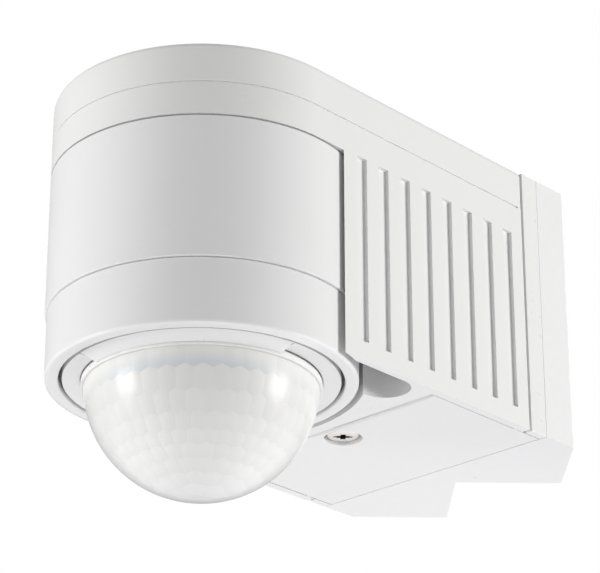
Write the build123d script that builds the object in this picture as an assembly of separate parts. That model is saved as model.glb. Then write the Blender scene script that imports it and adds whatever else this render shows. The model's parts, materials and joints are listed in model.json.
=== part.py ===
"""Corner-mounted passive infrared motion sensor, in millimetres.

+Y points into the wall corner, +Z is up and X runs across the housing.
The origin is on the edge of the V notch that takes an outside wall corner, at half the housing's height.
"""
import os
from math import asin, cos, degrees, radians, sin, sqrt

from build123d import *

# Overall sizes
body_width = 76.0
body_height = 72.0
arm_depth = 38.05  # drum seat to the rear edge of the housing shell
cap_height = 10.5
band_height = 8.7
drum_height = 36.6

# Walls, gaps and clearances
side_wall = 3.0
thin_wall = 1.7
plate = 2.0
seam = 0.4
body_gap = 0.3
press_gap = 0.1
seat_gap = 1.1
running_gap = 0.08

# Corner bracket
bracket_web = 9.4  # front face to the edge of the notch
notch_half = 19.7
bracket_wall = 2.2
bracket_corner = 1.2
wall_hole_radius = 2.3
inside_hole_height = 12.0
cable_radius = 6.2
cable_drop = 17.5
collar_wall = 2.0
post_radius = 3.8
fixing_x = 28.0
fixing_z = 25.0
fixing_radius = 1.5
fixing_pilot = 1.25
fixing_head = 2.9
fixing_head_height = 2.0
fixing_grip = 6.0

# Base plate and its seal
base_depth = 6.1
base_web = 2.5
seal_gap = 0.85
lip_depth = 5.0
lip_wall = 1.8

# Bottom cover and its screw
cover_thickness = 2.2
cover_recess = 2.4
cover_inset = 2.6  # cover edge inside the housing's side
seat_rim = 4.4  # drum seat to the cover's front edge
cover_gap = 0.9
ledge = 1.5
screw_setback = 6.3  # cover's front edge to its screw
screw_head_radius = 4.2
screw_head_height = 2.3
screw_washer_height = 0.8
screw_well_radius = 4.9
screw_sink = 0.5
screw_radius = 2.0
screw_length = 16.0

# Side grooves
groove_count = 8
groove_width = 3.5
groove_end = 4.31  # last groove to the shell's rear edge
groove_first = 13.9  # swivel axis to the first groove's near edge
groove_depth = 1.0
groove_top = 0.3  # above the underside of the front band
groove_bottom = 4.8  # above the underside of the housing

# Corner pockets beside the drum
pocket_radius = 6.2
pocket_lead = 1.0

# Swivel
hub_radius = 11.8
hub_bore = 9.3
hub_drop = 10.8
clip_groove = 0.8
clip_height = 1.2
clip_reach = 1.9
head_turn = 36.3  # direction that the head faces, from straight ahead towards +X
swivel_half_range = 90.0
lug_radius = 1.5
lug_track = 20.0

# Sensor head
drum_wall = 2.0
ring_step = 0.5
ring_drop = 0.3
ring_width = 3.3
ring_wall = 2.2
spigot_wall = 1.0
spigot_height = 4.3
bayonet_turn = 12.0
bayonet_half = 4.0
bayonet_rise = 1.4
carrier_gap = 0.9
carrier_wall = 1.2
carrier_plate = 1.8
carrier_height = 24.0
annulus_width = 5.1

# Dome lens
lens_wall = 0.9
lens_drop = 0.25
lens_lip = 0.45
lens_flange = 1.0

# Dial cover and dials
cover_half_arc = 48.7
cover_rim = 1.0
cover_slope = 1.3
cover_skin = 0.9
dial_radius = 1.6
dial_spread = 28.0
dial_slot = 0.6
trimmer_side = 6.0
trimmer_height = 4.0

# Electronics
board_thickness = 1.6
board_drop = 9.4  # sensor board below the carrier's top plate
can_radius = 4.1
can_height = 4.2
can_tilt = 50.0
can_track = 8.6
holder_radius = 13.5
holder_height = 7.0
lead_radius = 1.5
lead_bend = 7.0
tray_z = -12.0
tray_thickness = 1.6
stand_off = 6.4
pole_count = 5
pole_pitch = 8.0
terminal_height = 13.0
terminal_front_gap = 3.7  # cover screw's boss to the terminal block
terminal_rear_gap = 0.5  # terminal block to the grommet's cone
grommet_reach = 6.0

# Derived places
head_radius = body_width / 2
bracket_front = -bracket_web
base_front = bracket_front - base_depth
shell_rear = base_front - seal_gap
seat_radius = head_radius + seat_gap
arm_reach = seat_radius + arm_depth
head_y = shell_rear - arm_reach
cover_front = seat_radius + seat_rim
screw_y = cover_front + screw_setback
groove_run = arm_reach - groove_first - groove_width - groove_end
groove_pitch = groove_run / (groove_count - 1)
z_top = body_height / 2
z_floor = -body_height / 2
z_cap = z_top - cap_height
z_band = z_cap - band_height
z_drum = z_band - drum_height
z_ring = z_floor - ring_drop
tip_y = notch_half
side_end = tip_y - (head_radius - notch_half)
cavity_half = head_radius - side_wall
cover_half = head_radius - cover_inset
recess_half = cover_half + body_gap
z_recess = z_floor + cover_recess
pocket_x = head_radius - thin_wall - pocket_radius
pocket_y = head_y + sqrt(seat_radius**2 - (pocket_x - pocket_radius) ** 2) + pocket_lead
ring_radius = head_radius - ring_step
ring_inner = ring_radius - ring_width
carrier_lip = ring_inner - carrier_gap
lens_radius = carrier_lip - annulus_width
drum_inner = head_radius - drum_wall
spigot_radius = drum_inner - body_gap
spigot_inner = spigot_radius - spigot_wall
carrier_radius = spigot_inner - body_gap
z_shelf = z_floor + 2 * carrier_plate
z_carrier = z_floor + carrier_height
z_board = z_carrier - plate - board_drop
dial_track = lens_radius + 0.57 * annulus_width
boss_radius = 2 * screw_radius
terminal_front = head_y + screw_y + boss_radius + terminal_front_gap
terminal_rear = base_front - grommet_reach - terminal_rear_gap
tray_top = tray_z + tray_thickness
z_power = tray_top + stand_off


def block(x, y, z):
    """Box between two limits on each axis."""
    centre = Pos((x[0] + x[1]) / 2, (y[0] + y[1]) / 2, (z[0] + z[1]) / 2)
    return centre * Box(abs(x[1] - x[0]), abs(y[1] - y[0]), abs(z[1] - z[0]))


def wide(half, y, z):
    """Box that is symmetrical about the middle plane."""
    return block((-half, half), y, z)


def post(radius, z, x=0.0, y=head_y):
    """Upright cylinder between two heights, on the swivel axis unless placed."""
    return Pos(x, y, (z[0] + z[1]) / 2) * Cylinder(radius, abs(z[1] - z[0]))


def tube(outer, inner, z, x=0.0, y=head_y):
    """Upright tube between two heights."""
    return post(outer, z, x, y) - post(inner, (min(z) - 1, max(z) + 1), x, y)


def rod(radius, y, x=0.0, z=0.0):
    """Cylinder along Y between two limits."""
    return Pos(x, (y[0] + y[1]) / 2, z) * Rot(90, 0, 0) * Cylinder(radius, abs(y[1] - y[0]))


def slab(plan, z):
    """A plan outline made solid between two heights."""
    return extrude(Pos(0, 0, min(z)) * plan, abs(z[1] - z[0]))


def arm_plan(inset=0.0, rear=shell_rear):
    """The housing's plan: a half-round front on straight sides."""
    radius = head_radius - inset
    sides = Pos(0, (head_y + rear) / 2) * Rectangle(2 * radius, rear - head_y)
    return Pos(0, head_y) * Circle(radius) + sides


def polar(radius, angle):
    """Point about the swivel axis, at an angle from straight ahead towards +X."""
    return radius * sin(radians(angle)), head_y - radius * cos(radians(angle))


def wedge(start, end, z, reach=120.0):
    """Sector about the swivel axis between two angles."""
    steps = max(2, int((end - start) / 30) + 1)
    rim = [polar(reach, start + (end - start) * i / steps) for i in range(steps + 1)]
    return slab(make_face(Polyline((0, head_y), *rim, close=True)), z)


def turned(points):
    """Ring about the swivel axis from a list of (radius, height) points."""
    profile = make_face(Polyline(*[(radius, 0, z) for radius, z in points], close=True))
    return Pos(0, head_y, 0) * revolve(profile, Axis.Z, 360)


def group(pieces):
    """Like pieces kept as separate solids in one node."""
    return Compound(children=[piece for piece in pieces])


def mirrored(piece):
    """A piece and its reflection across the middle plane."""
    return piece + mirror(piece, Plane.YZ)


# The wall side: bracket, base plate, seal and grommet


def bracket_plan(inset=0.0):
    """W-shaped plan: a V notch for an outside corner between two wedges for an inside corner."""
    outer = [(head_radius, bracket_front), (head_radius, side_end), (notch_half, tip_y)]
    left = [(-x, y) for x, y in reversed(outer)]
    plan = make_face(Polyline(*outer, (0, 0), *left, close=True))
    return offset(plan, -inset, kind=Kind.INTERSECTION) if inset else plan


def wall_hole(x, y, z, side):
    """Screw hole square to a face at 45 degrees; side is +1 or -1 for an axis towards +X or -X."""
    return Pos(x, y, z) * Rot(0, 0, -45 * side) * Rot(90, 0, 0) * Cylinder(wall_hole_radius, 5 * bracket_wall)


def face_middle(near, far):
    """Point half way along a face of the bracket's plan."""
    return (near[0] + far[0]) / 2, (near[1] + far[1]) / 2


def fixings(radius, y):
    """Four rods along Y at the places where the base plate is screwed on."""
    places = [(sx * fixing_x, sz * fixing_z) for sx in (1, -1) for sz in (1, -1)]
    return [rod(radius, y, x, z) for x, z in places]


def corner_bracket():
    """Hollow moulding, open to the front, with faces at 45 degrees on both sides of each wedge."""
    body = slab(bracket_plan(), (z_floor, z_top))
    uprights = body.edges().filter_by(Axis.Z).filter_by(lambda edge: edge.center().Y > side_end - 0.1)
    body = fillet(uprights, bracket_corner)
    mouth = Pos(0, bracket_front) * Rectangle(2 * (head_radius - bracket_wall), 3 * bracket_wall)
    hollow = bracket_plan(bracket_wall) + mouth
    body -= slab(hollow, (z_floor + bracket_wall, z_top - bracket_wall))
    inside = slab(bracket_plan(bracket_wall / 2), (z_floor, z_top))
    inside += wide(head_radius - bracket_wall, (bracket_front, 0), (z_floor, z_top))
    for upright in fixings(post_radius, (bracket_front, tip_y)):
        body += upright & inside
    body += rod(cable_radius + collar_wall, (bracket_front, tip_y), 0, -cable_drop) & inside
    body -= rod(cable_radius, (bracket_front - 1, tip_y), 0, -cable_drop)
    for pilot in fixings(fixing_pilot, (bracket_front - 1, bracket_front + fixing_grip + 1)):
        body -= pilot
    for side in (1, -1):
        x, y = face_middle((head_radius, side_end), (notch_half, tip_y))
        for z in (-inside_hole_height, inside_hole_height):
            body -= wall_hole(side * x, y, z, side)
        x, y = face_middle((0, 0), (notch_half, tip_y))
        body -= wall_hole(side * x, y, 0, -side)
    return body


def bracket_screws():
    """Pan-head screws that hold the base plate on the bracket."""
    web_front = base_front
    heads = fixings(fixing_head, (web_front - fixing_head_height, web_front))
    shanks = fixings(fixing_pilot, (web_front, bracket_front + fixing_grip))
    slots = [
        block((x - fixing_head, x + fixing_head), (web_front - 9, web_front - 1), (z - 0.4, z + 0.4))
        for x, z in [(sx * fixing_x, sz * fixing_z) for sx in (1, -1) for sz in (1, -1)]
    ]
    return group([head + shank - slot for head, shank, slot in zip(heads, shanks, slots)])


def cover_slot(front):
    """Room for the bottom cover in the pieces that it lies flush with."""
    return wide(recess_half, (front, bracket_front), (z_floor - 1, z_recess))


def base_plate():
    """Plate between the bracket and the housing, with a rim that enters the housing."""
    body = wide(head_radius, (base_front, bracket_front), (z_floor, z_top))
    body -= cover_slot(base_front - 1)
    rear = bracket_front + 1
    pocket = wide(cavity_half, (base_front + base_web, rear), (z_recess + side_wall, z_top - side_wall))
    bosses = fixings(post_radius, (base_front, bracket_front))
    for boss in bosses:
        pocket -= boss
    pocket -= rod(cable_radius + 2 * collar_wall, (base_front, rear), 0, -cable_drop)
    body -= pocket
    lip_half = cavity_half - body_gap
    lip = (z_recess + side_wall + body_gap, z_top - side_wall - body_gap)
    rim = wide(lip_half, (base_front - lip_depth, base_front), lip)
    inner = (lip[0] + lip_wall, lip[1] - lip_wall)
    rim -= wide(lip_half - lip_wall, (base_front - lip_depth - 1, base_front), inner)
    body += rim
    for hole in fixings(fixing_radius, (base_front - 1, rear)):
        body -= hole
    return body - rod(cable_radius + collar_wall, (base_front - 1, rear), 0, -cable_drop)


def base_seal():
    """Flat rubber ring in the joint between the housing and the base plate."""
    inset = side_wall / 2 - 0.3
    outer = wide(head_radius - inset, (shell_rear, base_front), (z_recess + 0.3, z_top - inset))
    inner_z = (z_recess + side_wall - 0.4, z_top - side_wall + 0.4)
    inner = wide(cavity_half + 0.4, (shell_rear - 1, base_front + 1), inner_z)
    return outer - inner


def cable_grommet():
    """Stepped rubber grommet with a thin cone that the mains cable is pushed through."""
    hole = cable_radius + collar_wall
    body = rod(hole, (base_front - 1.5, bracket_front - 0.2), 0, -cable_drop)
    body += rod(hole + 1.5, (base_front - 1.5, base_front), 0, -cable_drop)
    body -= rod(hole - 1.5, (base_front, bracket_front + 1), 0, -cable_drop)
    tip = base_front - grommet_reach
    cone = Pos(0, (tip + base_front - 1.5) / 2, -cable_drop) * Rot(90, 0, 0)
    body += cone * Cone(hole - 1.0, 3.2, base_front - 1.5 - tip)
    return body - rod(2.2, (tip - 1, base_front + 1), 0, -cable_drop)


# The housing: shell, top cap, bottom cover and cover screw


def pocket_plan():
    """Void between the drum's seat and the thin front end of each side wall."""
    channel = Pos(pocket_x, pocket_y) * Circle(pocket_radius)
    middle = ((pocket_x - pocket_radius + head_radius - thin_wall) / 2, (head_y + pocket_y) / 2)
    run = Rectangle(2 * pocket_radius, pocket_y - head_y)
    right = channel + Pos(*middle) * run
    return right + mirror(right, Plane.YZ)


def cavity_plan():
    """Inside of the arm, behind the seat and the pockets."""
    rear = shell_rear + 5
    room = Pos(0, (head_y + rear) / 2) * Rectangle(2 * cavity_half, rear - head_y)
    room -= Pos(0, head_y) * Circle(seat_radius + plate)
    for side in (1, -1):
        room -= Pos(side * pocket_x, pocket_y) * Circle(pocket_radius + plate)
        room -= Pos(side * cavity_half, head_y) * Rectangle(4 * pocket_radius, 2 * (pocket_y - head_y))
    return room


def side_grooves():
    """Blind upright grooves in both sides of the arm."""
    cuts = []
    z = (z_floor + groove_bottom, z_band + groove_top)
    for index in range(groove_count):
        near = head_y + groove_first + index * groove_pitch
        for side in (1, -1):
            x = (side * (head_radius - groove_depth), side * (head_radius + 1))
            cuts.append(block(x, (near, near + groove_width), z))
    return cuts


def housing_shell():
    """Arm, drum seat and front band in one moulding, open at the top, the rear and the bottom."""
    body = slab(arm_plan(), (z_floor, z_cap))
    body -= post(seat_radius, (z_floor - 1, z_band))
    body -= slab(pocket_plan(), (z_floor - 1, z_band))
    roof = z_band + plate
    body -= slab(cavity_plan(), (z_recess + ledge, z_cap + 1))
    body -= slab(arm_plan(side_wall, shell_rear + 5), (roof, z_cap + 1))
    body -= slab(arm_plan(side_wall / 2, shell_rear + 5), (z_cap - plate, z_cap + 1))
    body -= cover_slot(head_y + cover_front - cover_gap)
    opening_front = head_y + cover_front + ledge
    body -= wide(cavity_half, (opening_front, shell_rear - side_wall), (z_floor - 1, z_recess + 2 * ledge))
    well = screw_well_radius + 1.5 + body_gap
    body -= post(well, (z_floor - 1, z_recess + 2 * ledge), 0, head_y + screw_y)
    joint = slab(arm_plan(), (z_cap - seam, z_cap)) - slab(arm_plan(seam), (z_cap - seam, z_cap))
    body -= joint & wide(2 * head_radius, (head_y - 2 * head_radius, shell_rear - 1.2), (z_band, z_top))
    for groove in side_grooves():
        body -= groove
    return body + hub() + cover_boss() + rails() - hub_holes() + stop_lug()


def hub():
    """Hollow spigot that the drum hangs and turns on."""
    spigot = post(hub_radius, (z_band - hub_drop, z_band + plate))
    groove_low = z_band - hub_drop + clip_height
    ring = tube(hub_radius + 1, hub_radius - clip_groove, (groove_low, groove_low + clip_height))
    return spigot - ring


def hub_holes():
    """Passage for the signal lead through the hub."""
    return post(hub_bore, (z_band - hub_drop - 1, z_band + plate + 1))


def stop_lug():
    """Peg under the front band that stops the head at each end of its swivel."""
    x, y = polar(lug_track, 180)
    return post(lug_radius, (z_band - plate - 0.2, z_band + 0.1), x, y)


def cover_boss():
    """Screw boss for the bottom cover, on a web from the seat wall."""
    y = head_y + screw_y
    boss = post(boss_radius, (z_floor + 9, tray_z - 2), 0, y)
    boss += block((-1, 1), (head_y + seat_radius + plate / 2, y), (z_floor + 9, tray_z - 2))
    return boss - post(screw_radius, (z_floor, tray_z - 3), 0, y)


def rails():
    """Ledges along both sides that carry the electronics tray."""
    front = head_y + cover_front + 4
    ledges = block((cavity_half - 2, cavity_half + 0.5), (front, shell_rear - 8), (tray_z - 1.5, tray_z))
    return mirrored(ledges)


def top_cap():
    """Lid of the housing, with a tongue inside the shell's top edge."""
    body = slab(arm_plan(), (z_cap, z_top))
    body = fillet(body.faces().sort_by(Axis.Z)[-1].edges(), 1.5)
    body -= slab(arm_plan(side_wall, shell_rear + 5), (z_cap - 1, z_top - side_wall))
    tongue = slab(arm_plan(side_wall / 2 + press_gap), (z_cap - plate + 0.3, z_cap + 0.5))
    tongue -= slab(arm_plan(side_wall - 0.2, shell_rear + 5), (z_cap - plate, z_cap + 1))
    clear = wide(head_radius, (shell_rear - lip_depth - 1, shell_rear + 1), (z_cap - plate, z_cap))
    return body + (tongue - clear)


def bottom_cover():
    """Plate under the arm and the base plate, with a sunk well for its screw."""
    z = (z_floor, z_floor + cover_thickness)
    body = wide(cover_half, (head_y + cover_front, bracket_front - 0.15), z)
    front = body.edges().filter_by(Axis.X).sort_by(lambda edge: edge.center().Y + edge.center().Z)[0]
    body = chamfer(front, 0.6)
    y = head_y + screw_y
    seat = z_floor + screw_sink + screw_head_height + screw_washer_height
    body += post(screw_well_radius + 1.5, (z_floor + 0.5, seat + 1.5), 0, y)
    body -= post(screw_well_radius, (z_floor - 1, seat), 0, y)
    body -= post(screw_radius + 0.2, (z_floor, seat + 3), 0, y)
    tabs = block((cover_half - 0.5, recess_half - 0.02), (shell_rear - 3, shell_rear - 1.6), z)
    return body + mirrored(tabs)


def cover_screw():
    """Pan-head screw with a combined slot and cross."""
    y = head_y + screw_y
    low = z_floor + screw_sink
    seat = low + screw_head_height
    head = post(screw_head_radius, (low, seat), 0, y)
    head = fillet(head.edges().sort_by(Axis.Z)[0], 1.0)
    body = head + post(screw_radius, (seat, seat + screw_length), 0, y)
    arm = 2.6
    for turn, half in ((45, arm + 2.5), (-45, arm)):
        slot = Box(2 * half, 1.1, 2.4)
        body -= Pos(0, y, low) * Rot(0, 0, turn) * slot
    return body


def screw_washer():
    """Captive rubber washer under the cover screw's head."""
    under = z_floor + screw_sink + screw_head_height
    heights = (under, under + screw_washer_height)
    return tube(screw_head_radius - 0.5, screw_radius + 0.2, heights, 0, head_y + screw_y)


# The sensor head: drum, clip, trim ring, lens carrier and lens


def drum_shell():
    """Hanging drum with a roof that turns on the hub and posts that press on the lens carrier."""
    top = z_band - seam
    body = tube(head_radius, drum_inner, (z_drum, top))
    body += post(drum_inner + 0.5, (top - plate, top))
    for angle in (0, 120, 240):
        x, y = polar(carrier_radius - 5, angle + head_turn + 60)
        body += post(2.6, (z_carrier, top - plate / 2), x, y)
    body -= post(hub_radius + running_gap, (top - 2 * plate, top + 1))
    body -= swivel_slot(top)
    body -= bayonet_slots()
    return body


def swivel_slot(top):
    """Curved slot in the drum's roof for the stop peg."""
    margin = degrees(asin(lug_radius / lug_track)) + 1.0
    start = 180 + head_turn - swivel_half_range - margin
    end = start + 2 * swivel_half_range + 2 * margin
    half = lug_radius + body_gap
    z = (top - 2 * plate, top + 1)
    return tube(lug_track + half, lug_track - half, z) & wedge(start, end, z)


def bayonet_slots():
    """L-shaped grooves inside the drum's lower edge for the trim ring's lugs."""
    low = z_drum + bayonet_rise + 0.8
    cuts = []
    ring = (spigot_radius - 1, spigot_radius + 1.0)
    for angle in (0, 120, 240):
        start = head_turn + angle
        lock = tube(ring[1], ring[0], (low - 0.2, low + bayonet_rise + 0.2))
        cuts.append(lock & wedge(start - 5, start + bayonet_turn + 5, (z_drum - 1, z_band)))
        entry = tube(ring[1], ring[0], (z_drum - 1, low + bayonet_rise + 0.2))
        span = (start + bayonet_turn - 5, start + bayonet_turn + 5)
        cuts.append(entry & wedge(*span, (z_drum - 1, z_band)))
    return cuts[0] + cuts[1] + cuts[2] + cuts[3] + cuts[4] + cuts[5]


def hub_clip():
    """Open spring clip in the hub's groove, which carries the drum."""
    low = z_band - hub_drop + clip_height
    ring = tube(hub_radius + clip_reach, hub_radius - clip_groove, (low, low + clip_height))
    return ring - wedge(-14, 14, (low - 1, low + clip_height + 1))


def friction_washer():
    """Rubber washer between the clip and the drum's roof, which holds the head where it is turned."""
    low = z_band - hub_drop + 2 * clip_height
    high = z_band - seam - plate - 0.05
    return tube(hub_radius + clip_reach + 2, hub_radius + 0.05, (low, high))


def swivel_seal():
    """Rubber ring between the front band and the drum's roof."""
    return tube(hub_radius + 4.5, hub_radius + 2.5, (z_band - seam + 0.05, z_band))


def trim_ring():
    """Lower ring of the head: its flange holds the lens carrier up, and its spigot locks in the drum."""
    flange = z_ring + plate
    top = z_drum - press_gap
    body = tube(ring_radius, ring_radius - ring_wall, (z_ring, top))
    body += tube(ring_radius - 0.5, ring_inner, (z_ring, flange))
    rims = body.edges().filter_by(GeomType.CIRCLE).sort_by(Axis.Z)[:2]
    body = chamfer(rims.sort_by(SortBy.LENGTH)[-1], 0.4)
    body += tube(ring_radius - ring_wall + 0.2, spigot_inner, (top - plate, top))
    body += tube(spigot_radius, spigot_inner, (top - plate, z_drum + spigot_height))
    low = z_drum + bayonet_rise + 0.8
    lugs = tube(spigot_radius + 0.7, spigot_inner, (low, low + bayonet_rise))
    for angle in (0, 120, 240):
        start = head_turn + angle
        body += lugs & wedge(start - bayonet_half, start + bayonet_half, (low, low + bayonet_rise))
    return body


def carrier_recess(gap):
    """Arc under the carrier's shelf that the dial cover fills."""
    z = (z_floor - 1, z_floor + carrier_plate)
    ring = tube(carrier_lip + 1, lens_radius - 1, z)
    margin = degrees(gap / carrier_lip)
    return ring & wedge(head_turn - cover_half_arc - margin, head_turn + cover_half_arc + margin, z)


def lens_carrier():
    """Cup that holds the lens and the sensor board, with a shelf that rests on the trim ring."""
    rim = lens_radius + lens_lip + body_gap
    shelf_under = z_floor + carrier_plate
    body = tube(carrier_lip, rim, (z_floor, shelf_under + 0.2)) - carrier_recess(body_gap)
    body += tube(ring_inner + 0.8, rim, (shelf_under, z_shelf))
    body += tube(carrier_radius, carrier_radius - carrier_wall, (shelf_under, z_carrier))
    body += post(carrier_radius, (z_carrier - plate, z_carrier))
    body += tube(rim + 0.1, lens_radius + press_gap, (shelf_under, z_shelf))
    body -= post(hub_bore, (z_carrier - 2 * plate, z_carrier + 1))
    for x, y in board_posts():
        body += post(2.8, (z_board + board_thickness, z_carrier - plate / 2), x, y)
        body -= post(0.9, (z_board, z_board + board_thickness + 6), x, y)
    for angle in dial_angles():
        x, y = polar(dial_track, angle)
        body -= post(dial_radius + body_gap, (z_floor, z_shelf + 1), x, y)
    for angle in clip_angles():
        notch = tube(carrier_lip - 1.0, carrier_lip - 3.0, (shelf_under - 1, z_shelf + 1))
        body -= notch & wedge(angle - 2.6, angle + 2.6, (z_floor, z_shelf + 1))
    return body


def board_posts():
    """Places of the posts that the sensor board is screwed to."""
    return [polar(0.62 * carrier_radius, head_turn + angle) for angle in (95, 180, 265)]


def dial_angles():
    """Directions of the three dials under the dial cover."""
    return [head_turn + offset for offset in (-dial_spread, 0, dial_spread)]


def clip_angles():
    """Directions of the dial cover's two snap tabs."""
    return [head_turn + side * (cover_half_arc - 5) for side in (-1, 1)]


def dial_cover():
    """Snap-in arc beside the lens: a thin flat rim and a slope down to the lens."""
    outer = carrier_lip
    inner = lens_radius + lens_lip + body_gap
    top = z_floor + cover_skin
    low = z_floor - cover_slope
    bend = outer - cover_rim
    section = [(outer, z_floor), (bend, z_floor), (inner, low), (inner, low + cover_skin + 0.3)]
    section += [(bend - 0.6, top), (outer, top)]
    z = (low - 1, z_shelf + 2)
    body = turned(section) & wedge(head_turn - cover_half_arc, head_turn + cover_half_arc, z)
    tab = tube(outer - 1.3, outer - 2.7, (z_floor + 0.2, z_shelf + 0.6))
    for angle in clip_angles():
        body += tab & wedge(angle - 1.8, angle + 1.8, (z_floor - 1, z_shelf + 2))
    return body


def dome_lens():
    """Milky half-sphere with a collar through the carrier and a flange above its shelf."""
    centre = z_floor - lens_drop
    ball = Pos(0, head_y, centre) * (Sphere(lens_radius) - Sphere(lens_radius - lens_wall))
    lower = (centre - lens_radius - 1, centre)
    body = ball & post(lens_radius + 1, lower)
    top = z_shelf + lens_flange
    body += tube(lens_radius, lens_radius - lens_wall, (centre, top))
    lip = (z_floor - cover_slope - 0.6, z_floor - lens_drop)
    body += tube(lens_radius + lens_lip, lens_radius - lens_wall / 2, lip)
    return body + tube(lens_radius + 1.3, lens_radius - lens_wall, (z_shelf + 0.3, top))


def lens_gasket():
    """Thin rubber ring between the lens flange and the carrier's shelf."""
    return tube(lens_radius + 1.2, lens_radius, (z_shelf, z_shelf + 0.3))


# Sensing electronics in the head


def sensor_board():
    """Round board with the detectors on its underside."""
    body = post(carrier_radius - carrier_wall - body_gap, (z_board, z_board + board_thickness))
    for x, y in board_posts():
        body -= post(1.2, (z_board - 1, z_board + board_thickness + 1), x, y)
    return body


def sensor_board_screws():
    """Self-tapping screws that hold the sensor board."""
    screws = []
    for x, y in board_posts():
        screw = post(2.0, (z_board - 1.4, z_board), x, y) + post(0.9, (z_board, z_board + 6), x, y)
        screws.append(screw - Pos(x, y, z_board - 1.4) * Box(5, 0.5, 1.2))
    return group(screws)


def can_places():
    """Placement of each detector can: three lean outwards, one looks straight down."""
    low = z_board - holder_height
    places = [Pos(0, head_y, low)]
    for offset in (-70, 0, 70):
        x, y = polar(can_track, head_turn + offset)
        places.append(Pos(x, y, low + 2.4) * Rot(0, 0, head_turn + offset) * Rot(-can_tilt, 0, 0))
    return places


def can(grow=0.0):
    """Metal detector can with a flange, looking along -Z."""
    body = Pos(0, 0, -can_height / 2) * Cylinder(can_radius + grow, can_height)
    return body + Pos(0, 0, -0.4) * Cylinder(can_radius + 0.5 + grow, 0.8 + grow)


def sensor_holder():
    """Black moulding that holds the four detector cans at their angles."""
    low = z_board - holder_height
    middle = Pos(0, head_y, (low + z_board) / 2)
    body = middle * Cone(holder_radius - 2.5, holder_radius, holder_height)
    for place in can_places():
        body -= place * can(0.02)
        body -= place * Pos(0, 0, -12) * Cylinder(can_radius + 0.52, 22.4)
    return body


def light_sensor():
    """Clear photodiode for the daylight threshold."""
    x, y = polar(holder_radius + 6, head_turn + 150)
    body = post(1.5, (z_board - 4, z_board), x, y)
    return body + Pos(x, y, z_board - 4) * Sphere(1.5)


def status_led():
    """Indicator lamp that shows a detection in a walk test."""
    x, y = polar(holder_radius + 6, head_turn - 150)
    body = post(1.5, (z_board - 4, z_board), x, y) + post(1.9, (z_board - 1, z_board), x, y)
    return body + Pos(x, y, z_board - 4) * Sphere(1.5)


def trimmers():
    """Bodies of the three setting potentiometers."""
    cubes = []
    for angle in dial_angles():
        x, y = polar(dial_track - 1.2, angle)
        z = z_board - trimmer_height / 2
        cubes.append(Pos(x, y, z) * Rot(0, 0, angle) * Box(trimmer_side, trimmer_side, trimmer_height))
    return group(cubes)


def setting_dial(angle):
    """Slotted shaft of one potentiometer, turned with a screwdriver."""
    x, y = polar(dial_track, angle)
    low = z_floor + carrier_plate - 0.6
    body = post(dial_radius, (low, z_board - trimmer_height - 0.05), x, y)
    return body - Pos(x, y, low) * Rot(0, 0, angle) * Box(dial_slot, 2 * dial_radius + 1, 1.4)


def head_connector():
    """Socket on the sensor board for the signal lead."""
    return block((-4, 4), (head_y - 3, head_y + 3), (z_board + board_thickness, z_board + 6.6))


def head_lead():
    """Upright part of the signal lead, which twists in the hub as the head turns."""
    return post(lead_radius, (z_board + 6.6, z_band + plate - 0.3))


# Electronics in the arm


def lead_clip():
    """Strain relief over the hub, where the signal lead turns down into the head."""
    high = z_band + plate
    body = block((-6, 6), (head_y - 6, head_y + 6), (high, high + 5))
    body += block((-hub_bore - 3, hub_bore + 3), (head_y - 3, head_y + 3), (high, high + 1.5))
    return body - block((-2.2, 2.2), (head_y - 2.2, head_y + 2.2), (high - 1, high + 2))


def signal_lead():
    """Lead from the strain relief to the power board, over the seat wall."""
    high = z_band + plate + 2.6
    rear = head_y + seat_radius + plate + 6
    ends = [(0, head_y + 6, high), (0, rear, high), (0, rear, z_power + board_thickness + 7)]
    path = FilletPolyline(*ends, radius=lead_bend)
    return sweep(Plane(origin=ends[0], z_dir=(0, 1, 0)) * Circle(lead_radius), path=path)


def tray_front():
    """Front edge of the electronics tray."""
    return head_y + cover_front + 1.5


def tray_rear():
    """Rear edge of the electronics tray."""
    return base_front - lip_depth - 1.0


def board_corners():
    """Places of the posts between the tray and the power board."""
    ys = (tray_front() + 5, tray_rear() - 5)
    return [(sx * (cavity_half - 11), y) for sx in (-1, 1) for y in ys]


def electronics_tray():
    """Insulating shelf between the wiring space and the power board."""
    z = (tray_z, tray_top)
    body = wide(cavity_half - body_gap, (tray_front() + 3, tray_rear()), z)
    for side in (1, -1):
        body -= post(pocket_radius + plate + body_gap, (tray_z - 1, tray_top + 1), side * pocket_x, pocket_y)
    for x, y in board_corners():
        body += post(2.6, (tray_z, z_power), x, y)
        body -= post(1.0, (tray_top, z_power + 1), x, y)
    for x in pole_places():
        body -= block((x - 2.2, x + 2.2), (pole_y() - 0.8, pole_y() + 0.8), (tray_z - 1, tray_top + 1))
    return body


def pole_places():
    """Positions of the terminal poles across the housing."""
    return [(index - (pole_count - 1) / 2) * pole_pitch for index in range(pole_count)]


def pole_y():
    """Middle of the terminal block along the arm."""
    return (terminal_front + terminal_rear) / 2


def terminal_block():
    """Screw terminals under the tray, which the cover gives access to."""
    half = pole_count * pole_pitch / 2 + 1
    y = (terminal_front, terminal_rear)
    z = (tray_z - terminal_height, tray_z)
    body = wide(half, y, z)
    for x in pole_places():
        body -= post(2.4, (z[0] - 1, z[0] + 5), x, pole_y() - 2)
        body -= rod(1.9, (pole_y() + 1.5, y[1] + 1), x, z[0] + 4)
        body -= block((x - 1.5, x + 1.5), (pole_y() - 0.4, pole_y() + 0.4), (z[1] - 5, z[1] + 1))
    return body


def terminal_screws():
    """Screws of the five terminals."""
    low = tray_z - terminal_height + 1.5
    slot = Box(6, 0.7, 1.6)
    places = [(x, pole_y() - 2) for x in pole_places()]
    return group([post(2.3, (low, low + 3.5), x, y) - Pos(x, y, low) * slot for x, y in places])


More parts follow.
